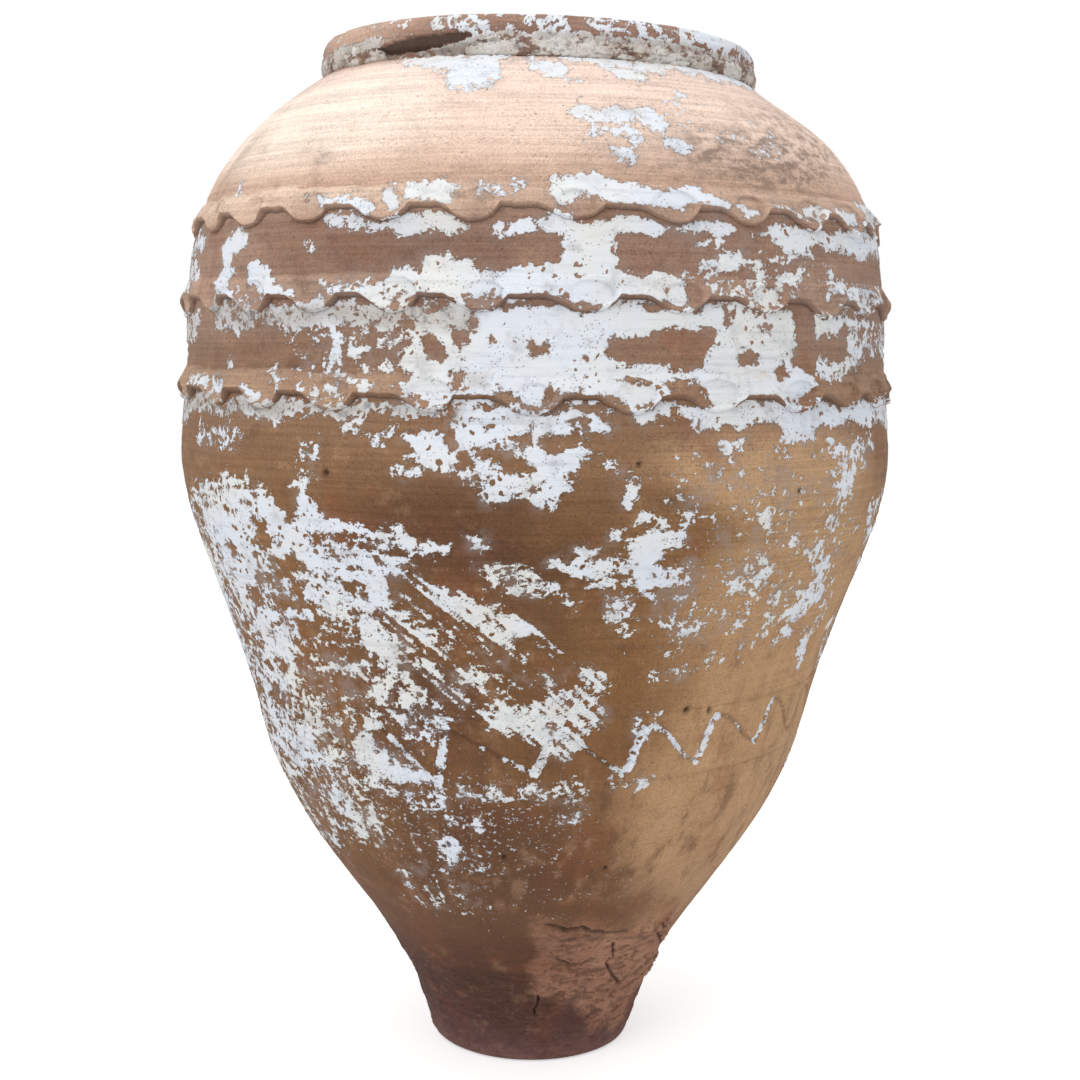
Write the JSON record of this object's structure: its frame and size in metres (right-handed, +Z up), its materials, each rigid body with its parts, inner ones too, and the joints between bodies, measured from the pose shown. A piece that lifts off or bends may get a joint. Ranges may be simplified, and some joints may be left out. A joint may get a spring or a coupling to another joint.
{
  "type": "pithos",
  "caption": "Large coil-built storage jar of fired clay on a small foot, with thumb-pressed bands, an incised wave frieze and a heavy undercut rim, worn and partly whitewashed.",
  "frame": {"origin": "centre of the resting face under the foot", "axes": "+Z up along the jar's axis, -Y towards the front with the gap in the rim mortar left of centre, +X to the right"},
  "size_m": [0.7132, 0.7128, 0.994],
  "materials": {
    "fired_clay": "matt, weathered, with remains of whitewash",
    "lime_mortar": "matt, coarse lime mortar"
  },
  "bodies": {
    "root": {"floor_disc": "fired_clay", "foot_course": "fired_clay", "lower_cone_course": "fired_clay", "upper_cone_course": "fired_clay", "frieze_course": "fired_clay", "lower_belly_course": "fired_clay", "upper_belly_course": "fired_clay", "lower_girdle_course": "fired_clay", "upper_girdle_course": "fired_clay", "lower_shoulder_course": "fired_clay", "upper_shoulder_course": "fired_clay", "rim_lip": "fired_clay", "lower_band": "fired_clay", "middle_band": "fired_clay", "upper_band": "fired_clay", "rim_lime_fill": "lime_mortar"}
  },
  "joints": []
}
